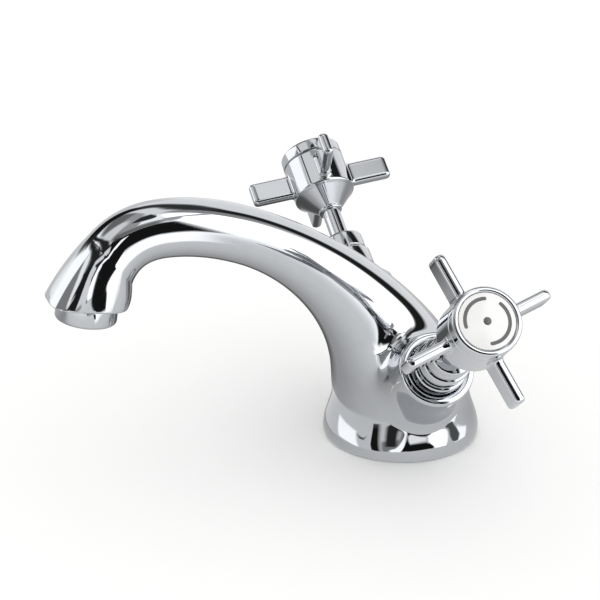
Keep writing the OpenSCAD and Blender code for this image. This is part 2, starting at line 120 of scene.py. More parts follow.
def makeChrome(name, look):
    # plated brass: polished on a belt, then nickel and chrome; mirror-like with a very slow ripple
    material, tree, out = newMaterial(name)
    place = addNode(tree, "ShaderNodeTexCoord").outputs["Object"]
    ripple = addNode(tree, "ShaderNodeTexNoise", links={"Vector": place}, values={
        "Scale": 1 / (look["waveSize"] * mm), "Detail": 1.0, "Roughness": 0.4})
    film = addNode(tree, "ShaderNodeTexNoise", links={"Vector": place}, values={
        "Scale": 1 / (look["wipeSize"] * mm), "Detail": 4.0, "Roughness": 0.6})
    finishSurface(tree, out, film, ripple, look, {"Metallic": 1.0})
    return material


brassLook = {
    "colour": "#C9A55A",     # bare yellow brass
    "shade": "#A88543",      # where it has tarnished
    "roughness": (0.22, 0.38),    # bright, and tarnished
    "turnPitch": 0.99,       # mm; real tool marks are about 0.25 mm apart, too fine to show
    "depth": 0.02,           # mm, of those marks
    "bump": 0.4,
    "stainSize": 4.55,       # mm, patches of tarnish
}


def makeBrass(name, look):
    # dezincification-resistant brass, turned on a lathe and left bare: fine tool lines under a satin tarnish
    material, tree, out = newMaterial(name)
    place = addNode(tree, "ShaderNodeTexCoord").outputs["Object"]
    waveLength = 2 * math.pi / 10  # metres along an axis after which a slanting wave repeats at scale 1
    lines = addNode(tree, "ShaderNodeTexWave", {"bands_direction": "DIAGONAL"}, {"Vector": place}, {
        "Scale": waveLength / (look["turnPitch"] * mm), "Distortion": 1.5, "Detail": 2.0})
    stain = addNode(tree, "ShaderNodeTexNoise", links={"Vector": place}, values={
        "Scale": 1 / (look["stainSize"] * mm), "Detail": 3.0})
    finishSurface(tree, out, stain, lines, look, {"Metallic": 1.0})
    return material


def makeDielectric(name, look):
    # moulded, lapped or enamelled: two close tones and a fine grain. The real grain is a few hundredths of a
    # millimetre, too fine to show, so each is drawn as coarse as its dictionary says
    material, tree, out = newMaterial(name)
    place = addNode(tree, "ShaderNodeTexCoord").outputs["Object"]
    speck = addNode(tree, "ShaderNodeTexNoise", links={"Vector": place}, values={
        "Scale": 1 / (look["grain"] * mm), "Detail": 3.0, "Roughness": 0.55})
    finishSurface(tree, out, speck, speck, look, {"IOR": look["ior"], "Coat Weight": look["coat"]})
    return material


# EPDM, moulded: matt black with a fine bloom
rubberLook = {"colour": "#232324", "shade": "#2D2D2F", "roughness": (0.6, 0.8), "ior": 1.52, "coat": 0.0,
              "grain": 0.6, "depth": 0.01, "bump": 0.5}
# alumina, pressed and lapped: dense, cream and faintly glossy
ceramicLook = {"colour": "#EFEAE0", "shade": "#E4DED0", "roughness": (0.12, 0.22), "ior": 1.76, "coat": 0.0,
               "grain": 0.3, "depth": 0.002, "bump": 0.5}
# acetal, moulded: milky pale grey with a satin skin
acetalLook = {"colour": "#D9DBDD", "shade": "#CDD0D2", "roughness": (0.35, 0.5), "ior": 1.48, "coat": 0.0,
              "grain": 0.8, "depth": 0.006, "bump": 0.5}
# vitreous enamel, fired on a small disc: a slightly uneven white under a clear gloss
enamelLook = {"colour": "#E9E9E8", "shade": "#E6E6E4", "roughness": (0.10, 0.18), "ior": 1.5, "coat": 0.4,
              "grain": 1.5, "depth": 0.004, "bump": 0.5}
# the same enamel in dark grey, fired a little less glossy
markLook = {"colour": "#4A4B4C", "shade": "#58595A", "roughness": (0.2, 0.3), "ior": 1.5, "coat": 0.2,
            "grain": 0.8, "depth": 0.004, "bump": 0.5}

castingChrome = makeChrome("polishedChromeCasting", chromeLook)
# the turned trims are small and stiff under the belt, so their ripple is shorter and shallower
trimChrome = makeChrome("polishedChromeTurned", dict(chromeLook, waveSize=8.0, depth=0.003))
turnedBrass = makeBrass("turnedBrass", brassLook)
sealRubber = makeDielectric("mouldedRubber", rubberLook)
lappedCeramic = makeDielectric("lappedCeramic", ceramicLook)
mouldedPlastic = makeDielectric("mouldedAcetal", acetalLook)
whiteEnamel = makeDielectric("firedEnamelWhite", enamelLook)
greyEnamel = makeDielectric("firedEnamelGrey", markLook)
print("materials made")


sharpAngle = 28  # degrees; edges of the turned pieces that turn more than this stay crisp


# a mesh from points in mm, which rides on a body and takes the place of the CAD nodes in stands
def makePiece(name, verts, faces, material, body, slot, stands, normals=None):
    mesh = bpy.data.meshes.new(name)
    mesh.from_pydata((np.asarray(verts) * mm).tolist(), [], [list(face) for face in faces])
    mesh.validate()
    mesh.materials.append(material)
    mesh.polygons.foreach_set("use_smooth", np.ones(len(mesh.polygons), bool))
    if normals is not None:
        mesh.normals_split_custom_set(normals.tolist())
    else:
        mesh.set_sharp_from_angle(angle=math.radians(sharpAngle))
    piece = bpy.data.objects.new(name, mesh)
    bpy.context.scene.collection.objects.link(piece)
    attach(piece, body)
    if stands:
        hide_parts(*stands)
    return piece


meshing = {
    "block": 4,          # cells along a block's side; only blocks near the surface are worked out in full
    "nearBlocks": 1.5,   # how near that is, in blocks
    "step": 0.02,        # mm from a point to the samples that give its slope
    "fineStep": 0.01,    # the same beside an edge
    "edgeTurn": 0.6,     # where neighbouring normals agree less than this there is an edge
    "pull": 0.04,        # keeps a point on an edge near the middle of its cell
    "farthest": 0.75,    # cells that such a point may move
    "inset": 0.3,        # how far in from an edge a face takes its normals there
}


def gradient(distance, p, h=meshing["step"]):
    # four samples at the corners of a small tetrahedron
    corners = np.array([[1, -1, -1], [-1, -1, 1], [-1, 1, -1], [1, 1, 1]], float)
    g = np.zeros_like(p)
    for c in corners:
        g += distance(p + c * h)[:, None] * c
    return g / (4 * h)


def unit(v):
    return v / np.maximum(np.linalg.norm(v, axis=1, keepdims=True), 1e-9)


# a closed quad mesh of the surface where distance(p) is 0, with its edges and corners kept sharp
def contour(distance, low, high, cell):
    low, high, block = np.array(low, float), np.array(high, float), meshing["block"]
    blocks = np.ceil((high - low) / (cell * block)).astype(int)
    size = blocks * block
    centre = [low[k] + (np.arange(blocks[k]) + 0.5) * cell * block - cell / 2 for k in range(3)]
    grid = np.stack(np.meshgrid(*centre, indexing="ij"), -1).reshape(-1, 3)
    rough = distance(grid).reshape(blocks)
    field = rough.astype(np.float32)
    for axis in range(3):
        field = np.repeat(field, block, axis)
    near = np.argwhere(np.abs(rough) < cell * block * meshing["nearBlocks"])
    inner = np.stack(np.meshgrid(*[np.arange(block)] * 3, indexing="ij"), -1).reshape(-1, 3)
    index = (near[:, None, :] * block + inner[None]).reshape(-1, 3)
    field[tuple(index.T)] = distance(low + index * cell)
    inside = field < 0
    # crossings of the surface with the grid's edges, and the four cells round each
    points, cells, quads = [], [], []
    strides = np.array([size[1] * size[2], size[2], 1])
    for axis in range(3):
        other = [k for k in range(3) if k != axis]
        a = [slice(1, -1)] * 3
        b = [slice(1, -1)] * 3
        a[axis], b[axis] = slice(0, -1), slice(1, None)
        at = np.argwhere(inside[tuple(a)] != inside[tuple(b)])
        at[:, other] += 1
        step = np.eye(3, dtype=int)[axis]
        f0 = field[tuple(at.T)].astype(float)
        f1 = field[tuple((at + step).T)].astype(float)
        points.append(low + (at + (f0 / (f0 - f1))[:, None] * step) * cell)
        around = []
        for shift in ((-1, -1), (0, -1), (0, 0), (-1, 0)):
            corner = at.copy()
            corner[:, other] += shift
            around.append(corner @ strides)
        around = np.stack(around, 1)
        cells.append(around)
        flip = (f0 < 0) == (axis == 1)
        quads.append(np.where(flip[:, None], around[:, ::-1], around))
    points, cells, quads = np.vstack(points), np.vstack(cells), np.vstack(quads)
    used, number = np.unique(cells, return_inverse=True)
    number = number.reshape(cells.shape)
    quads = np.searchsorted(used, quads)
    count = np.bincount(number.ravel(), minlength=len(used))[:, None]
    total = [np.bincount(number.ravel(), np.repeat(points[:, k], 4), len(used)) for k in range(3)]
    middle = np.stack(total, 1) / count
    verts = middle.copy()
    for _ in range(2):  # draw every point on to the surface
        g = gradient(distance, verts)
        verts = verts - distance(verts)[:, None] * g / np.maximum((g * g).sum(1, keepdims=True), 0.25)
    normals = unit(gradient(distance, verts))
    # where neighbours face different ways there is an edge: place those points on it
    turns = [(normals[quads[:, i]] * normals[quads[:, (i + 1) % 4]]).sum(1) for i in range(4)]
    sharp = np.zeros(len(used), bool)
    sharp[quads[np.stack(turns, 1).min(1) < meshing["edgeTurn"]].ravel()] = True
    busy = sharp[number].any(1)
    if busy.any():
        facing = unit(gradient(distance, points[busy]))
        offset = (facing * points[busy]).sum(1)
        left = np.zeros((len(used), 3, 3))
        right = np.zeros((len(used), 3))
        for k in range(4):
            np.add.at(left, number[busy][:, k], facing[:, :, None] * facing[:, None, :])
            np.add.at(right, number[busy][:, k], facing * offset[:, None])
        left += meshing["pull"] * np.eye(3)
        right += meshing["pull"] * middle
        solved = np.linalg.solve(left[sharp], right[sharp][:, :, None])[:, :, 0]
        reach = meshing["farthest"] * cell
        verts[sharp] = middle[sharp] + np.clip(solved - middle[sharp], -reach, reach)
    loops = normals[quads]
    touched = sharp[quads].any(1)
    if touched.any():
        corners = verts[quads[touched]]
        probe = mix(corners, corners.mean(1)[:, None, :], meshing["inset"])
        loops[touched] = unit(gradient(distance, probe.reshape(-1, 3), meshing["fineStep"])).reshape(-1, 4, 3)
    return verts, quads, loops.reshape(-1, 3)


# a solid of revolution along +Z from a profile of (radius, height)
def turned(profile, segments=128):
    verts, rows = [], []
    for r, z in profile:
        if r < 1e-6:
            rows.append([len(verts)] * segments)
            verts.append((0, 0, z))
        else:
            rows.append(list(range(len(verts), len(verts) + segments)))
            verts += [(r * math.cos(2 * math.pi * i / segments), r * math.sin(2 * math.pi * i / segments), z)
                      for i in range(segments)]
    faces = []
    for lower, upper in zip(rows, rows[1:]):
        for i in range(segments):
            j = (i + 1) % segments
            loop = []
            for v in (lower[i], lower[j], upper[j], upper[i]):
                if v not in loop:
                    loop.append(v)
            if len(loop) > 2:
                faces.append(loop)
    return np.array(verts, float), faces


# a profile with rounded corners, each given as (radius, height) or (radius, height, rounding)
def rounded(corners, steps=5):
    out = []
    for i, c in enumerate(corners):
        if len(c) < 3 or c[2] <= 0:
            out.append((c[0], c[1]))
            continue
        here = np.array(c[:2], float)
        before = np.array(corners[i - 1][:2], float)
        after = np.array(corners[(i + 1) % len(corners)][:2], float)
        a, b = before - here, after - here
        la, lb = np.linalg.norm(a), np.linalg.norm(b)
        a, b = a / la, b / lb
        half = math.acos(np.clip(a @ b, -1, 1)) / 2
        reach = min(c[2] / math.tan(half), la * 0.49, lb * 0.49)  # leaves room for the next corner's rounding
        r = reach * math.tan(half)
        centre = here + (a + b) / np.linalg.norm(a + b) * (r / math.sin(half))
        start = np.arctan2(*(here + a * reach - centre)[::-1])
        end = np.arctan2(*(here + b * reach - centre)[::-1])
        sweep = (end - start + math.pi) % (2 * math.pi) - math.pi
        for k in range(steps + 1):
            angle = start + sweep * k / steps
            out.append(tuple(centre + r * np.array([math.cos(angle), math.sin(angle)])))
    return out


casting = {
    # the foot and the neck that the column grows from
    "footDia": 54.5, "footEdgeZ": 2.5, "footRound": 0.9, "footSlope": 0.93, "baseRound": 1.1,
    "neckDia": 47.6, "neckZ": 17.5, "neckRound": 3.0, "neckBlend": (8.0, 34.0),
    # the spout, in the plane of (y, z): two curves that meet at the crown, then the nozzle
    "crown": (-84.0, 85.5), "waistDia": 19.6, "waistShare": 0.76, "taper": 21.3, "riseStart": 0.04,
    "lineFoot": (0.0, 4.0), "lineRise": 46.0, "lineBack": 37.0, "lineAhead": 16.0, "lineDrop": 15.0,
    "outlet": (-110.7, 62.7), "outletLean": 9.0, "outletRound": 0.7,
    "rimLength": 26.0, "rimAhead": 0.7, "rimWidth": 21.4, "rimPower": 3.6,
    "nozzleSlant": 28.0, "creaseShare": 0.58, "creaseLean": 128.0, "creaseSwell": 0.9,
    # the two horns, their cups and what is bored below them, measured along the valve's axis
    "rootZ": 10.4, "lean": 37.5, "sweep": 3.4, "hornDia": 25.6, "hornStart": 12.0, "hornBlend": 15.0,
    "cupWall": 3.3, "cupFloor": 42.0, "cupDepth": 7.0, "rimRound": 2.0,
    "seatAt": 18.0, "threadDia": 18.0, "threadLength": 11.0, "chamberDia": 17.2,
    # bores: diameter and depth, and for the inlets how far they stand off the middle
    "stud": (8.0, 14.0), "inlet": (10.0, 12.0, 11.0), "aeratorBore": (17.0, 8.5),
    "sealGroove": (39.0, 47.2, 2.2),  # inner and outer diameter, and depth
    # the box that the mesh is made in, and its cells
    "low": (-49, -128, -1.5), "high": (49, 29, 97), "cell": 0.5,
}
sectionCount = 401  # in each of the spout's three stretches


def cubic(p, t):
    t = np.asarray(t)[..., None]
    a, b, c, d = [np.array(q, float) for q in p]
    return (1 - t) ** 3 * a + 3 * (1 - t) ** 2 * t * b + 3 * (1 - t) * t * t * c + t ** 3 * d


def cubicHeading(p, t):
    t = np.asarray(t)[..., None]
    a, b, c, d = [np.array(q, float) for q in p]
    return (1 - t) ** 2 * (b - a) + 2 * (1 - t) * t * (c - b) + t * t * (d - c)


# rows of (y, z, lean, half width, half depth, squareness); u runs 0..1 to the crown, 1..2 to the
# crease and 2..3 down the nozzle
def spoutSections():
    c = casting
    foot, crown, outlet = np.array(c["lineFoot"]), np.array(c["crown"]), np.array(c["outlet"])
    slant, tilt = math.radians(c["nozzleSlant"]), math.radians(c["outletLean"])
    rise = [foot, foot + [0, c["lineRise"]], crown + [c["lineBack"], 0], crown]
    drop = [crown, crown - [c["lineAhead"], 0],
            outlet + c["lineDrop"] * np.array([math.sin(slant), math.cos(slant)]), outlet]
    s = np.linspace(0, 1, sectionCount)
    t = mix(c["riseStart"], 1, s)
    head = cubicHeading(rise, t)
    lean = np.degrees(np.arctan2(-head[:, 0], head[:, 1]))
    waist = c["waistDia"] / 2
    swell = waist + c["taper"] * np.maximum(0, 1 - t / c["waistShare"]) ** 2
    r = softMin(swell, np.full_like(t, c["neckDia"] / 2), c["neckRound"])
    two = np.full_like(t, 2.0)
    column = np.column_stack([cubic(rise, t), lean, r, r, two])
    r = mix(waist, waist + c["creaseSwell"], s * s)
    barrel = np.column_stack([cubic(drop, s * c["creaseShare"]), mix(90, c["creaseLean"], s), r, r, two])
    rimMid = outlet + c["rimAhead"] * np.array([-math.cos(tilt), math.sin(tilt)])
    rim = np.array([*rimMid, 180 - c["outletLean"], c["rimWidth"] / 2, c["rimLength"] / 2, c["rimPower"]])
    nozzle = mix(barrel[-1][None, :], rim[None, :], s[:, None])
    return np.vstack([column, barrel[1:], nozzle[1:]])


sections = spoutSections()
sectionU = np.linspace(0, 3, 3 * sectionCount - 2)


def planeMiss(u, y, z):
    cy, cz, lean = [np.interp(u, sectionU, sections[:, k]) for k in range(3)]
    lean = np.radians(lean)
    return (y - cy) * -np.sin(lean) + (z - cz) * np.cos(lean)


def stepU(u, y, z, times):
    step = 0.004
    for _ in range(times):
        miss = planeMiss(u, y, z)
        slope = (planeMiss(u + step, y, z) - miss) / step
        slope = np.where(np.abs(slope) < 5, -5.0, slope)  # no leap where the planes hardly move
        u = np.clip(u - np.clip(miss / slope, -0.08, 0.08), 0, 3 - step)
    return u


# a first guess of u over the plane of the spout, one value a millimetre
guessLow, guessSize = np.array([-130.0, -5.0]), (171, 111)
guessY, guessZ = np.meshgrid(*[guessLow[k] + np.arange(guessSize[k]) for k in range(2)], indexing="ij")
guessU = sectionU[::8][((guessY.reshape(-1, 1) - sections[None, ::8, 0]) ** 2
                        + (guessZ.reshape(-1, 1) - sections[None, ::8, 1]) ** 2).argmin(1)]
guessU = stepU(guessU, guessY.ravel(), guessZ.ravel(), 6).reshape(guessSize)


# the section whose plane holds the point (y, z)
def solveU(y, z):
    fy = np.clip(y - guessLow[0], 0, guessSize[0] - 1.001)
    fz = np.clip(z - guessLow[1], 0, guessSize[1] - 1.001)
    i, j = fy.astype(int), fz.astype(int)
    return stepU(guessU[i, j], y, z, 3)


def spoutDistance(p):
    x, y, z = p.T
    u = solveU(y, z)
    cy, cz, lean, a, b, power = [np.interp(u, sectionU, sections[:, k]) for k in range(6)]
    lean = np.radians(lean)
    v = (y - cy) * np.cos(lean) + (z - cz) * np.sin(lean)
    q = (np.abs(x / a) ** power + np.abs(v / b) ** power + 1e-12) ** (1 / power)
    return (q - 1) * np.minimum(a, b)


# a bell that spreads to the foot's edge; footSlope makes up for its slanting side
def footDistance(p):
    c = casting
    x, y, z = p.T
    s = np.clip((z - c["footEdgeZ"]) / (c["neckZ"] - c["footEdgeZ"]), 0, 1)
    wide = mix(c["neckDia"] / 2, c["footDia"] / 2, (1 + np.cos(np.pi * s)) / 2)
    under = 1 - np.clip(z, 0, c["footEdgeZ"]) / c["footEdgeZ"]
    return (np.hypot(x, y) - wide + c["footRound"] * (1 - np.sqrt(1 - under ** 2))) * c["footSlope"]


# columns: two directions across the valve's axis, and the axis itself
def valveFrame(side):
    tilt = side * math.radians(90 - casting["lean"])
    sweep = -side * math.radians(casting["sweep"])
    ct, st, cs, ss = math.cos(tilt), math.sin(tilt), math.cos(sweep), math.sin(sweep)
    across = np.array([[ct, 0, st], [0, 1, 0], [-st, 0, ct]])
    turn = np.array([[cs, -ss, 0], [ss, cs, 0], [0, 0, 1]])
    return turn @ across


root = np.array([0, 0, casting["rootZ"]])


# points measured along a valve's axis, moved to where that valve stands
def fromValve(verts, side):
    return np.asarray(verts) @ valveFrame(side).T + root


# a round bar along an axis, from how far a point lies off the axis and along it
def rodDistance(rho, along, radius, start, end):
    return np.maximum(rho - radius, np.maximum(start - along, along - end))


# one horn blended into the body, with its cup, the thread for the valve and the chamber under it
def addHorn(body, p, side):
    c = casting
    near = np.flatnonzero((side * p[:, 0] > -4) & (p[:, 1] > -45) & (p[:, 2] < 62))  # mm; all it can reach
    q = (p[near] - root) @ valveFrame(side)
    rho, along = np.hypot(q[:, 0], q[:, 1]), q[:, 2]
    end, top = c["cupFloor"] + c["cupDepth"], c["cupFloor"] + 1
    horn = np.maximum(rho - c["hornDia"] / 2, c["hornStart"] - along)
    shape = softMin(body[near], horn, c["hornBlend"])
    # the cut across the rim stays off the column
    shape = np.where(rho < 18, softMax(shape, along - end, c["rimRound"]), shape)
    cup = rodDistance(rho, along, c["hornDia"] / 2 - c["cupWall"], c["cupFloor"], end + 5)
    shape = softMax(shape, -cup, c["rimRound"])
    for dia, start in ((c["threadDia"], c["cupFloor"] - c["threadLength"]), (c["chamberDia"], c["seatAt"])):
        shape = np.maximum(shape, -rodDistance(rho, along, dia / 2, start, top))
    body[near] = shape


# the nozzle cut off square at the outlet, with the aerator's bore
def cutOutlet(body, p):
    c = casting
    tilt = math.radians(c["outletLean"])
    tip = np.flatnonzero(p[:, 1] < -80)  # mm; the nozzle lies beyond this
    dy, dz = p[tip, 1] - c["outlet"][0], p[tip, 2] - c["outlet"][1]
    out = -dy * math.sin(tilt) - dz * math.cos(tilt)
    across = dy * math.cos(tilt) - dz * math.sin(tilt)
    dia, deep = c["aeratorBore"]
    bore = rodDistance(np.hypot(p[tip, 0], across), out, dia / 2, -deep, 5)
    body[tip] = np.maximum(softMax(body[tip], out, c["outletRound"]), -bore)


# the flat underside with the seal's groove, the stud's hole and the two inlets
def cutBase(body, p):
    c = casting
    base = np.flatnonzero(p[:, 2] < 20)  # mm; nothing is cut higher
    x, y, h = p[base].T
    rho = np.hypot(x, y)
    shape = softMax(body[base], -h, c["baseRound"])
    inner, outer, deep = c["sealGroove"]
    shape = np.maximum(shape, -np.maximum(np.maximum(inner / 2 - rho, rho - outer / 2), h - deep))
    dia, deep = c["stud"]
    shape = np.maximum(shape, -np.maximum(rho - dia / 2, h - deep))
    dia, deep, off = c["inlet"]
    body[base] = np.maximum(shape, -np.maximum(np.hypot(np.abs(x) - off, y) - dia / 2, h - deep))


def castingDistance(p):
    low = p[:, 2] < casting["neckBlend"][1]
    body = spoutDistance(p)
    body[low] = mix(footDistance(p[low]), body[low], smoothStep(*casting["neckBlend"], p[low, 2]))
    for side in sides.values():
        addHorn(body, p, side)
    cutOutlet(body, p)
    cutBase(body, p)
    return body


verts, quads, normals = contour(castingDistance, casting["low"], casting["high"], casting["cell"])
makePiece("castBody", verts, quads, castingChrome, "tap", "chrome_casting", ["body"], normals)
print("casting:", len(quads), "faces")


crosshead = {
    "armsAt": 95.0,  # mm along the valve's axis to the middle of the arms
    "turn": {"cold": 20.0, "hot": 81.0},  # degrees round that axis at rest
    "arms": 4, "armReach": 26.5, "armThick": 3.8, "armDepth": 10.0, "armRound": 2.0, "tipRound": 2.4,
    "hubDia": 22.6, "drumFront": 8.0, "drumBack": 6.5, "hubBack": 14.0, "tailDia": 8.8, "tailLength": 1.5,
    "edge": 0.6, "hubRound": 0.8, "fillet": 1.6, "low": -15.5, "high": 9.5, "cell": 0.42,
}


# signed distance to a closed polygon, negative inside
def polygonDistance(x, y, corners):
    best = np.full(x.shape, 1e9)
    inside = np.zeros(x.shape, bool)
    for i, (ax, ay) in enumerate(corners):
        bx, by = corners[(i + 1) % len(corners)]
        ex, ey = bx - ax, by - ay
        s = np.clip(((x - ax) * ex + (y - ay) * ey) / (ex * ex + ey * ey), 0, 1)
        best = np.minimum(best, np.hypot(x - ax - s * ex, y - ay - s * ey))
        inside ^= ((ay > y) != (by > y)) & (x < ax + (y - ay) / (ey if abs(ey) > 1e-9 else 1e-9) * ex)
    return np.where(inside, -best, best)


def crossheadDistance(turn):
    c = crosshead
    r, tail, e, soft = c["hubDia"] / 2, c["tailDia"] / 2, c["edge"], c["hubRound"]
    low, top = -c["hubBack"], c["drumFront"]
    # half the hub's section, drawn smaller by the rounding that is added to it
    hub = [(-r, low + soft), (tail - soft, low + soft), (tail - soft, low + c["tailLength"]),
           (r - 2 * e - soft / 2, -c["drumBack"]), (r - soft, -c["drumBack"] + e),
           (r - soft, top - soft), (-r, top - soft)]

    def distance(p):
        rho = np.hypot(p[:, 0], p[:, 1])
        along = p[:, 2]
        body = polygonDistance(rho, along, hub) - soft
        sector = 2 * math.pi / c["arms"]
        angle = (np.arctan2(p[:, 1], p[:, 0]) - math.radians(turn) + sector / 2) % sector - sector / 2
        across = rho * np.sin(angle)
        flat = (c["armDepth"] - c["armThick"]) / 2
        arm = np.hypot(across, np.maximum(np.abs(along) - flat, 0)) - c["armThick"] / 2
        a = rho - (c["armReach"] - c["armRound"])
        b = np.abs(along) - (c["armDepth"] / 2 - c["armRound"])
        end = np.hypot(np.maximum(a, 0), np.maximum(b, 0)) + np.minimum(np.maximum(a, b), 0) - c["armRound"]
        arm = softMax(arm, end, c["tipRound"])
        return softMin(body, arm, c["fillet"])
    return distance


half = crosshead["armReach"] + 1
low, high = (-half, -half, crosshead["low"]), (half, half, crosshead["high"])
for name, side in sides.items():
    distance = crossheadDistance(crosshead["turn"][name])
    verts, quads, normals = contour(distance, low, high, crosshead["cell"])
    verts = fromValve(verts + [0, 0, crosshead["armsAt"]], side)
    normals = normals @ valveFrame(side).T
    makePiece(name + "Crosshead", verts, quads, trimChrome, name + "_handle", "chrome_trim",
              [name + "_crosshead"], normals)
print("crossheads:", len(quads), "faces each")


# heights of all that follows up to the aerator are in mm along the valve's axis
shroud = {
    "foot": 46.5, "top": 69.3, "topDia": 9.0, "topRibDia": 15.2, "footRibDia": 18.7, "ribs": 3, "slope": 14.0,
    "edge": 1.1, "sideDraft": 0.1, "grooveDeep": 0.3, "grooveOuter": 0.95, "grooveInner": 0.7,
    "grooveEdge": 0.25, "grooveRound": 0.15,
    "boreDia": 13.1, "neckTop": 53.5, "neckDia": 11.7, "boreTop": 61.5, "holeDia": 7.2, "holeFrom": 65.9,
}


def shroudProfile():
    # stepped rings with slightly sloping shoulders, each a little wider than the one above
    c = shroud
    height = (c["top"] - c["foot"]) / c["ribs"]
    corners = [(c["holeDia"] / 2, c["top"])]
    above = c["topDia"] / 2
    for k in range(c["ribs"]):
        wide = mix(c["topRibDia"], c["footRibDia"], k / (c["ribs"] - 1)) / 2
        top, low = c["top"] - k * height, c["top"] - (k + 1) * height
        drop = (wide - above) * math.tan(math.radians(c["slope"]))
        corners += [(above, top), (wide - c["sideDraft"], top - drop, c["edge"]),
                    (wide, low + c["grooveOuter"], c["grooveEdge"])]
        above = wide - c["grooveDeep"]
        if k < c["ribs"] - 1:
            corners += [(above, low + c["grooveInner"], c["grooveRound"])]
        else:
            corners += [(wide, c["foot"])]
    bore, neck = c["boreDia"] / 2, c["neckDia"] / 2
    return rounded(corners, 6) + [(bore, c["foot"]), (bore, c["neckTop"]), (neck, c["neckTop"] + 0.3),
                                  (neck, c["boreTop"]), (c["holeDia"] / 2, c["holeFrom"])]


bezel = {"foot": 103.0, "height": 4.6, "dia": 22.6, "indexDia": 18.5, "floorAt": 105.8,
         "footRound": 0.4, "edge": 1.1, "inner": 0.8}


def bezelProfile():
    c = bezel
    r, inner, top = c["dia"] / 2, c["indexDia"] / 2, c["foot"] + c["height"]
    return rounded([(0, c["foot"]), (r, c["foot"], c["footRound"]), (r, top, c["edge"]),
                    (inner, top, c["inner"]), (inner, c["floorAt"]), (0, c["floorAt"])], 8)


spindle = {"tailDia": 11.2, "tail": (26.0, 28.5), "collarDia": 8.0, "collarAt": 56.0,
           "neckDia": 6.6, "to": 82.5, "edge": 0.3, "tailEdge": 0.2}


def spindleProfile():
    c = spindle
    foot, top = c["tail"]
    tail, collar, neck = c["tailDia"] / 2, c["collarDia"] / 2, c["neckDia"] / 2
    return rounded([(0, foot), (tail, foot, c["tailEdge"]), (tail, top, c["edge"]), (collar, top),
                    (collar, c["collarAt"], c["edge"]), (neck, c["collarAt"] + 0.1),
                    (neck, c["to"]), (0, c["to"])], 4)


index = {
    "dia": 18.4, "from": 105.65, "to": 107.35, "edge": 0.25,
    "arcRadius": 7.2, "arcWidth": 1.15, "arcs": ((-57, 76), (119, 221)),  # in degrees, start and end
    "turn": {"cold": 58, "hot": 20},  # degrees that the whole mark is turned by
    "dot": 1.3, "dotEdge": 0.03, "proud": 0.05, "sunk": 0.1,  # the marks stand a hair proud of the enamel
}


# a thin raised arc with round ends
def arcBand(radius, width, start, end, low, high, steps=36):
    def spot(cx, cy, r, angle):
        return cx + r * math.cos(angle), cy + r * math.sin(angle)

    def cap(angle, lean):
        cx, cy = spot(0, 0, radius, angle)
        return [spot(cx, cy, width / 2, angle + lean * k * math.pi / 8) for k in range(1, 8)]

    start, end = math.radians(start), math.radians(end)
    bend = [mix(start, end, k / steps) for k in range(steps + 1)]
    outer = [spot(0, 0, radius + width / 2, a) for a in bend]
    inner = [spot(0, 0, radius - width / 2, a) for a in reversed(bend)]
    loop = outer + cap(end, 1) + inner + cap(start, -1)[::-1]
    n = len(loop)
    verts = [(x, y, low) for x, y in loop] + [(x, y, high) for x, y in loop]
    faces = [[i, (i + 1) % n, n + (i + 1) % n, n + i] for i in range(n)]
    faces += [list(range(n, 2 * n)), list(range(n - 1, -1, -1))]
    return verts, faces


def valvePiece(name, side, profile, material, slot, body, stands, segments=128):
    verts, faces = turned(profile, segments)
    # the profile runs outwards and up or down: turn the faces if they look inwards
    a, b = np.array(profile), np.roll(np.array(profile), -1, axis=0)
    if (a[:, 0] * b[:, 1] - b[:, 0] * a[:, 1]).sum() < 0:
        faces = [f[::-1] for f in faces]
    return makePiece(name, fromValve(verts, side), faces, material, body, slot, stands)


for name, side in sides.items():
    body, trim = name + "_handle", "chrome_trim"
    ring = shroudProfile()
    valvePiece(name + "Shroud", side, ring + ring[:1], trimChrome, trim, "tap", [name + "_shroud"])
    valvePiece(name + "Bezel", side, bezelProfile(), trimChrome, trim, body, [name + "_index_bezel"])
    valvePiece(name + "Spindle", side, spindleProfile(), trimChrome, trim, body, [name + "_spindle"])
    c = index
    r, low, high = c["dia"] / 2, c["from"], c["to"]
    disc = rounded([(0, low), (r, low), (r, high, c["edge"]), (0, high)], 4)
    valvePiece(name + "IndexDisc", side, disc, whiteEnamel, "index_enamel", body, [name + "_index"], 96)
    low, high = high - c["sunk"], high + c["proud"]
    for k, arc in enumerate(c["arcs"]):
        start, end = [a + c["turn"][name] for a in arc]
        verts, faces = arcBand(c["arcRadius"], c["arcWidth"], start, end, low, high)
        verts = fromValve(verts, side)
        makePiece(f"{name}IndexArc{k + 1}", verts, faces, greyEnamel, body, "index_enamel", [])
    dot = rounded([(0, low), (c["dot"], low), (c["dot"], high, c["dotEdge"]), (0, high)], 3)
    valvePiece(name + "IndexDot", side, dot, greyEnamel, "index_enamel", body, [], 48)
print("valve trims made")


# heights are in mm outwards from the outlet
aerator = {"collarDia": 20.6, "collar": 6.0, "edge": 1.2, "gap": 0.02, "lip": 0.8, "lipEdge": 0.3,
           "bore": 14.4, "threadDia": 16.9, "depth": 7.0}


def fromOutlet(verts):
    tilt = math.radians(casting["outletLean"])
    v = np.asarray(verts, float)
    y = casting["outlet"][0] - v[:, 1] * math.cos(tilt) - v[:, 2] * math.sin(tilt)
    z = casting["outlet"][1] + v[:, 1] * math.sin(tilt) - v[:, 2] * math.cos(tilt)
    return np.column_stack([v[:, 0], y, z])


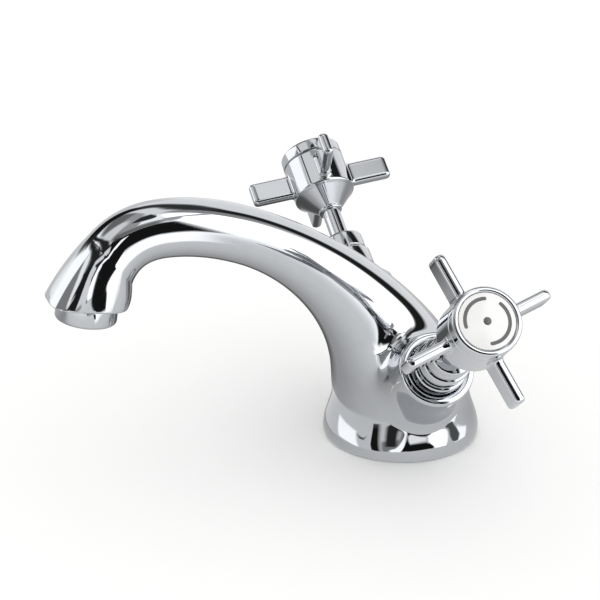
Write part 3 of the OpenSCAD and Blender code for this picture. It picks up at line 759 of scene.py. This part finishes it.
c = aerator
bore, thread, collar, gap = c["bore"] / 2, c["threadDia"] / 2, c["collarDia"] / 2, c["gap"]
lip, low = bore - c["lip"], c["collar"]
profile = rounded([(bore, -c["depth"]), (thread, -c["depth"]), (thread, gap), (collar, gap, c["lipEdge"]),
                   (collar, low, c["edge"]), (lip, low, c["lipEdge"]), (lip, low - c["lip"]),
                   (bore, low - c["lip"])], 6)
verts, faces = turned(profile + profile[:1])
makePiece("aeratorCollar", fromOutlet(verts), faces, trimChrome, "tap", "chrome_trim", ["aerator_housing"])
print("aerator made")


nodeFinish = {
    "foot_seal": sealRubber, "aerator_washer": sealRubber, "aerator_insert": mouldedPlastic,
    "aerator_screen": turnedBrass,
}
valveFinish = {
    "seat_seal": sealRubber, "spindle_rings": sealRubber,
    "fixed_disc": lappedCeramic, "turning_disc": lappedCeramic,
    "valve_housing": turnedBrass, "circlip": turnedBrass, "handle_screw": turnedBrass,
}
for name in sides:
    nodeFinish.update({f"{name}_{node}": material for node, material in valveFinish.items()})
for node, material in nodeFinish.items():
    mesh = nodes[node].data
    mesh.materials.clear()
    mesh.materials.append(material)
print("CAD nodes finished")


# The studio is a pale table in an even white room. Bright and dark boards stand round it; only the chrome
# sees them.
studio = {
    "roomLevel": 1.16, "tableSize": 8.0, "tableShade": "#F4F4F3",
    "centre": (0.0, -0.04, 0.06), "reach": 2.5, "farLayer": 0.05,  # metres
    "nozzleX": 72.0, "nozzleLayer": 1.0, "footReach": 40.0, "footLayer": 0.15,  # mm
    "footLow": 0.3, "footLowLayer": 0.05, "flagHeight": 0.3, "cardHeight": 0.15,  # mm over the table
    # painted light and shade of the table as the chrome sees it, over the distance in metres to the right of
    # the tap:
    # brighter to the right, with a painted shadow of the spout and foot in the dip just left of the tap
    "tableLevels": [(-1.0, 0.8), (-0.3, 0.75), (-0.12, 0.46), (-0.07, 0.42), (-0.035, 0.46), (-0.015, 0.54),
                    (0.0, 0.63), (0.015, 0.71), (0.03, 0.79), (0.05, 0.865), (0.09, 0.945), (0.18, 1.0),
                    (0.3, 1.15), (0.5, 1.4), (1.0, 1.6)],
}

# Far boards: level, soft edges, layer, and columns of (bearing, lower edge, upper edge), all in degrees but
# the level and the layer. Of two boards the one in the lower layer stands nearer and hides the other.
farBoards = {
    "darkRoomSide": (0.012, (4, 5), 0, [
        (-50, 20, 47), (-40, 8, 47), (-30, -4, 46), (-10, -4, 46), (10, -4, 46), (22, -4, 44)]),
    "keyBox": (2.4, (4, 5), 1, [
        (19, -4, 60), (28, -4, 76), (45, -4, 76), (56, -4, 68), (64, -4, 53), (74, -4, 42), (88, -4, 34)]),
    "keyShade": (0.55, (4, 2.5), 0, [(15, 45, 60), (23, 46, 60), (32, 54, 60), (60, 54.5, 61)]),
    "keyFade": (0.4, (8, 7), 2, [(50, 60, 84), (66, 44, 82), (80, 37, 80), (94, 35, 78)]),
    "backStrip": (0.02, (6, 6), -1, [(83, 32, 62), (90, 5, 62), (111, 5, 62)]),
    "overStrip": (0.05, (8, 8), 0, [
        (80, 47, 75), (100, 47, 80), (120, 52, 82), (148, 52, 78), (165, 46, 71), (180, 38, 66),
        (195, 28, 58)]),
    "capFlag": (0.012, (5, 5), -1, [
        (180, 36, 58), (188, 26, 58), (196, 13, 54), (203, 7, 50), (208, 8, 47), (214, 14, 44),
        (222, 21, 39), (229, 26, 37)]),
    "ceiling": (0.5, (5, 5), 4, [(-160, 42, 89), (-90, 42, 89), (10, 42, 89), (30, 54, 89)]),
    "ceilingStreak": (1.05, (8, 8), 3, [(-108, 40, 72), (-84, 40, 78), (-56, 40, 72)]),
    "ceilingShadeLeft": (0.22, (10, 10), 3, [(-165, 36, 76), (-135, 36, 76), (-104, 36, 72)]),
    "ceilingShadeRight": (0.22, (10, 6), 2, [(-60, 40, 54), (-30, 40, 56), (16, 40, 55)]),
    "ceilingLight": (1.5, (6, 3), 2, [(-18, 55, 67), (6, 55, 67), (14, 54, 73), (34, 54, 82)]),
    "ceilingFlag": (0.04, (3, 1.5), -2, [(-48, 68, 82), (-10, 66, 85), (12, 67, 85), (19, 71, 84)]),
    "frontBox": (1.75, (14, 4), 1, [(-158, -12, 34), (-120, -12, 42), (-92, -12, 48)]),
    "frontPaper": (0.85, (10, 5), 2, [(-200, -16, 30), (-150, -16, 34)]),
    "frontStrip": (0.33, (6, 3), 0, [
        (-106, 2, 46), (-82, 2, 46), (-66, 2, 44), (-52, 0, 36), (-42, -4, 28), (-20, -12, 8)]),
    "frontLine": (0.03, (3, 2), -2, [
        (-150, 14, 25), (-140, 24, 31), (-130, 29.5, 35.5), (-120, 34, 39.5), (-110, 37.5, 43),
        (-100, 40, 45.5), (-90, 40.5, 46.5), (-80, 40, 47), (-70, 38.5, 47), (-62, 35, 46), (-55, 30.5, 43),
        (-48, 25.5, 40), (-42, 18.5, 36), (-35, 10.5, 32), (-30, 6, 26)]),
    "frontStreak": (1.4, (6, 2.5), -1, [
        (-104, 36, 43), (-94, 35.5, 43), (-82, 33, 42), (-70, 29.5, 38.5), (-62, 25.5, 34.5),
        (-55, 21.5, 30.5), (-48, 16.5, 26), (-42, 12, 21.5), (-35, 7, 15.5), (-26, 1, 9)]),
}

# boards right of the nozzle, with columns of (height, y from, y to) in mm
nozzleBoards = {
    "nozzleFlag": (0.012, (3, 0.8), 0, [
        (116, -130, -84), (109, -131, -93), (102, -133, -98), (94, -129, -100), (85, -125.5, -98.5),
        (79, -122, -98), (65, -114, -97.5), (50, -105, -93.5), (40, -99, -90), (34, -95, -88)]),
    "nozzleBoard": (2.0, (12, 1.5), 1, [(92, -101, -72), (56, -98, -72), (24, -92, -72)]),
    "nozzleGlow": (2.0, (12, 20), 2, [(92, -104, -44), (56, -104, -44), (28, -100, -44)]),
    "nozzleStreak": (1.9, (3, 0.8), 1, [
        (140, -129, -114), (125, -136, -122), (113, -139, -127), (104, -138.5, -130), (84, -129.5, -122),
        (69, -121, -114), (54, -111.5, -104), (47, -106, -100)]),
    "nozzleLine": (0.03, (3, 0.6), 2, [
        (124, -160, -130), (104, -142, -134), (86, -133, -126), (61, -115.5, -110), (46, -107, -101)]),
    "nozzleStrip": (1.1, (6, 1.2), 3, [
        (150, -182, -160), (113, -160, -140), (82, -138.5, -126), (64, -127, -116), (48, -119, -107)]),
    "nozzleShade": (0.02, (6, 1.5), 4, [
        (146, -212, -164), (118, -180, -150), (99, -167, -143), (72, -146, -126), (56, -137, -116),
        (44, -129, -108)]),
}

# boards round the foot, with columns of (bearing in degrees, lower edge, upper edge in mm)
footBoards = {
    "footPaper": (0.85, (2.0, 2.0), 4, [(-140, -3, 15), (-60, -3, 15), (-16, -3, 14), (30, -3, 14)]),
    "footFlagWide": (0.01, (0.6, 0.5), 2, [
        (-24.5, -3, 11), (-19, -3, 10), (-16, -3, 7.6), (-13, -3, 5.6), (2, -3, 5.2), (7, -3, 4.6),
        (11, -3, 3), (14, -3, 1)]),
    "footFlagSmall": (0.03, (0.8, 0.5), 2, [(-36.5, 4.5, 12), (-30, 4.5, 11.7), (-23.5, 4.5, 11)]),
    "footStreak": (1.7, (0.7, 0.6), 1, [
        (-33, -3, 2.6), (-26, -3, 4), (-23.5, -3, 5.4), (-21, 0.5, 7), (-18.5, 4, 8.6), (-15.5, 8, 10.4)]),
    "footStreakLeft": (1.6, (0.8, 0.8), 1, [(-35.5, 2, 9.4), (-31.5, 1, 9.8)]),
    "footShade": (0.3, (1.0, 0.8), 3, [(-40, -3, 8), (-21, -3, 8)]),
    "footFlagTall": (0.012, (0.8, 0.5), 2, [(-49, -3, 4.5), (-46, -3, 12.6), (-38.5, -3, 12.6)]),
    "footLine": (0.1, (0.5, 0.4), 2, [(-40, 2, 12), (-37.5, 2, 12)]),
    "footBoardRight": (2.2, (1.5, 1.0), 3, [(4, 2, 10.5), (28, -3, 11)]),
    "footGlow": (1.3, (2.0, 1.5), 3, [(-20, 2, 9), (4, 1, 9)]),
    "footFlagRight": (0.12, (1.2, 0.8), 2, [(27, 7, 10), (33, 2.5, 9.8), (38, 1, 8.5), (44, 0.5, 5)]),
    "footBoardFar": (1.7, (2.0, 1.0), 3, [(37, -3, 9.5), (56, -3, 7)]),
    "footBoardLeft": (1.7, (2.5, 1.2), 3, [(-90, 2, 12), (-74, 1, 11), (-61.5, -1, 10)]),
    "footLineLow": (0.15, (0.6, 0.4), 2, [(-63, 8, 9.6), (-59, 6.8, 8.4), (-55.5, 6.6, 8), (-51, 8, 9.4)]),
}


# something of the studio, not of the tap
def makeStage(name, verts, faces, material):
    mesh = bpy.data.meshes.new(name)
    mesh.from_pydata(verts, [], faces)
    mesh.materials.append(material)
    thing = bpy.data.objects.new(name, mesh)
    bpy.context.scene.collection.objects.link(thing)
    return thing


def onlyInReflections(thing):
    thing.visible_camera = thing.visible_diffuse = thing.visible_shadow = False


# a sheet that only the chrome sees, glowing at its level; its grid follows the columns, and "cover" fades it
# out towards its edges, so a low level is a dark flag
def makeBoard(name, level, soft, columns, place):
    fadeAlong, fadeUp = soft
    rows = 10  # of faces from the lower edge to the upper one
    ends = np.array(columns + columns[-1:], float)
    lines = []
    for here, after in zip(ends, ends[1:]):
        wide = abs(after[0] - here[0])
        cell = fadeAlong / 2 if wide < 4 * fadeAlong else 3  # finer where much of it is fade
        steps = max(1, int(wide / cell))
        lines += [mix(here, after, k / steps) for k in range(steps)]
    verts, cover = [], []
    for a, low, high in lines:
        for j in range(rows + 1):
            e = mix(low, high, 0.5 - 0.5 * math.cos(math.pi * j / rows))  # closer together at both edges
            verts.append(place(a, e))
            along = min(abs(a - lines[0][0]), abs(a - lines[-1][0])) / fadeAlong
            cover.append(smoothStep(0, 1, min(along, abs(e - low) / fadeUp, abs(high - e) / fadeUp)))
    n = rows + 1
    faces = [[i * n + j, i * n + j + 1, i * n + n + j + 1, i * n + n + j]
             for i in range(len(lines) - 1) for j in range(rows)]
    material, tree, out = newMaterial(name)
    shown = addNode(tree, "ShaderNodeAttribute", {"attribute_name": "cover"})
    facing = addNode(tree, "ShaderNodeNewGeometry")
    front = addNode(tree, "ShaderNodeMath", {"operation": "SUBTRACT", "use_clamp": True},
                    links={0: shown.outputs["Fac"], 1: facing.outputs["Backfacing"]})
    clear = addNode(tree, "ShaderNodeBsdfTransparent")
    light = addNode(tree, "ShaderNodeEmission", values={"Strength": level})
    both = addNode(tree, "ShaderNodeMixShader", links={
        0: front.outputs["Value"], 1: clear.outputs["BSDF"], 2: light.outputs["Emission"]})
    tree.links.new(both.outputs["Shader"], out.inputs["Surface"])
    material.cycles.emission_sampling = "NONE"
    board = makeStage(name, verts, faces, material)
    board.data.attributes.new("cover", "FLOAT", "POINT").data.foreach_set("value", cover)
    onlyInReflections(board)


# bearings run from +X towards +Y
def direction(bearing, height=0.0):
    a, e = math.radians(bearing), math.radians(height)
    return np.array([math.cos(e) * math.cos(a), math.cos(e) * math.sin(a), math.sin(e)])


def placeFar(layer):
    reach = studio["reach"] + studio["farLayer"] * layer
    return lambda a, e: tuple(np.array(studio["centre"]) + reach * direction(a, e))


def placeByNozzle(layer):
    x = (studio["nozzleX"] + studio["nozzleLayer"] * layer) * mm
    return lambda a, e: (x, e * mm, a * mm)


def placeRoundFoot(layer):
    # they lean in over the foot, so that the column above looks along them
    reach = studio["footReach"] + studio["footLayer"] * layer
    low = studio["footLow"] - studio["footLowLayer"] * layer
    return lambda a, e: tuple(direction(a) * (reach - e) * mm + np.array([0, 0, max(e, low) * mm]))


for boards, placeOn in ((farBoards, placeFar), (nozzleBoards, placeByNozzle), (footBoards, placeRoundFoot)):
    for name, (level, soft, layer, columns) in boards.items():
        makeBoard(name, level, soft, columns, placeOn(layer))

# a dark card flat on the table, under and left of the spout, a painted shadow of the spout that only the
# chrome sees: columns of (x, y from, y to) in mm
spoutShadowFlag = {"level": 0.12, "soft": (30.0, 30.0),
             "columns": [(-36, -112, 8), (-60, -108, 30), (-100, -98, 36), (-140, -92, 36)]}
makeBoard("spoutShadowFlag", spoutShadowFlag["level"], spoutShadowFlag["soft"], spoutShadowFlag["columns"],
          lambda a, e: (a * mm, e * mm, studio["flagHeight"] * mm))

half = studio["tableSize"] / 2
square = [(-half, -half), (half, -half), (half, half), (-half, half)]
paint, tree, out = newMaterial("paintedTable")  # white emulsion on board: dead matt
shader = addNode(tree, "ShaderNodeBsdfPrincipled", values={
    "Base Color": hexLinear(studio["tableShade"]), "Roughness": 1.0, "Specular IOR Level": 0.0})
tree.links.new(shader.outputs["BSDF"], out.inputs["Surface"])
makeStage("studioTable", [(x, y, 0) for x, y in square], [[0, 1, 2, 3]], paint)

# a glowing card that only the chrome sees, with painted light on the right and the painted shadow of the
# spout and foot on the left
sheet, tree, out = newMaterial("tableLightAndShadeCard")  # a card on the table, lit from the right and shaded on the left
place = addNode(tree, "ShaderNodeTexCoord")
parts = addNode(tree, "ShaderNodeSeparateXYZ", links={"Vector": place.outputs["Object"]})
span = addNode(tree, "ShaderNodeMapRange", links={"Value": parts.outputs["X"]}, values={
    "From Min": -1.0, "From Max": 1.0})
levels = addNode(tree, "ShaderNodeValToRGB", links={"Fac": span.outputs["Result"]})
stops = levels.color_ramp.elements
while len(stops) < len(studio["tableLevels"]):
    stops.new(0.5)
for stop, (x, level) in zip(stops, studio["tableLevels"]):
    stop.position = (x + 1) / 2
    stop.color = (level / 2, level / 2, level / 2, 1)  # a ramp holds no more than 1, so the light doubles it
light = addNode(tree, "ShaderNodeEmission", links={"Color": levels.outputs["Color"]}, values={
    "Strength": 2.0})
tree.links.new(light.outputs["Emission"], out.inputs["Surface"])
sheet.cycles.emission_sampling = "NONE"
cardPoints = [(x, y, studio["cardHeight"] * mm) for x, y in square]
onlyInReflections(makeStage("tableLightAndShadeCard", cardPoints, [[0, 1, 2, 3]], sheet))

world = bpy.data.worlds.new("studio")
bpy.context.scene.world = world
world.use_nodes = True
background = world.node_tree.nodes["Background"]
background.inputs["Color"].default_value = (1, 1, 1, 1)
background.inputs["Strength"].default_value = studio["roomLevel"]

# 22 degrees above the table, and 18 forward of the side that the cold handle is on
cameraView = {"lens": 134.9, "sensor": 36.0, "farthest": 20, "from": (0.66986, -0.26041, 0.34072),
              "to": (0, -0.03727, 0.0541)}
camera = bpy.data.cameras.new("camera")
camera.lens, camera.sensor_width, camera.sensor_fit = cameraView["lens"], cameraView["sensor"], "HORIZONTAL"
camera.clip_end = cameraView["farthest"]
cameraObject = bpy.data.objects.new("camera", camera)
bpy.context.scene.collection.objects.link(cameraObject)
cameraObject.location = cameraView["from"]
aim = Vector(cameraView["to"]) - cameraObject.location
cameraObject.rotation_euler = aim.to_track_quat("-Z", "Y").to_euler()
bpy.context.scene.camera = cameraObject
bpy.context.scene.view_settings.view_transform = "Standard"
print("stage set")
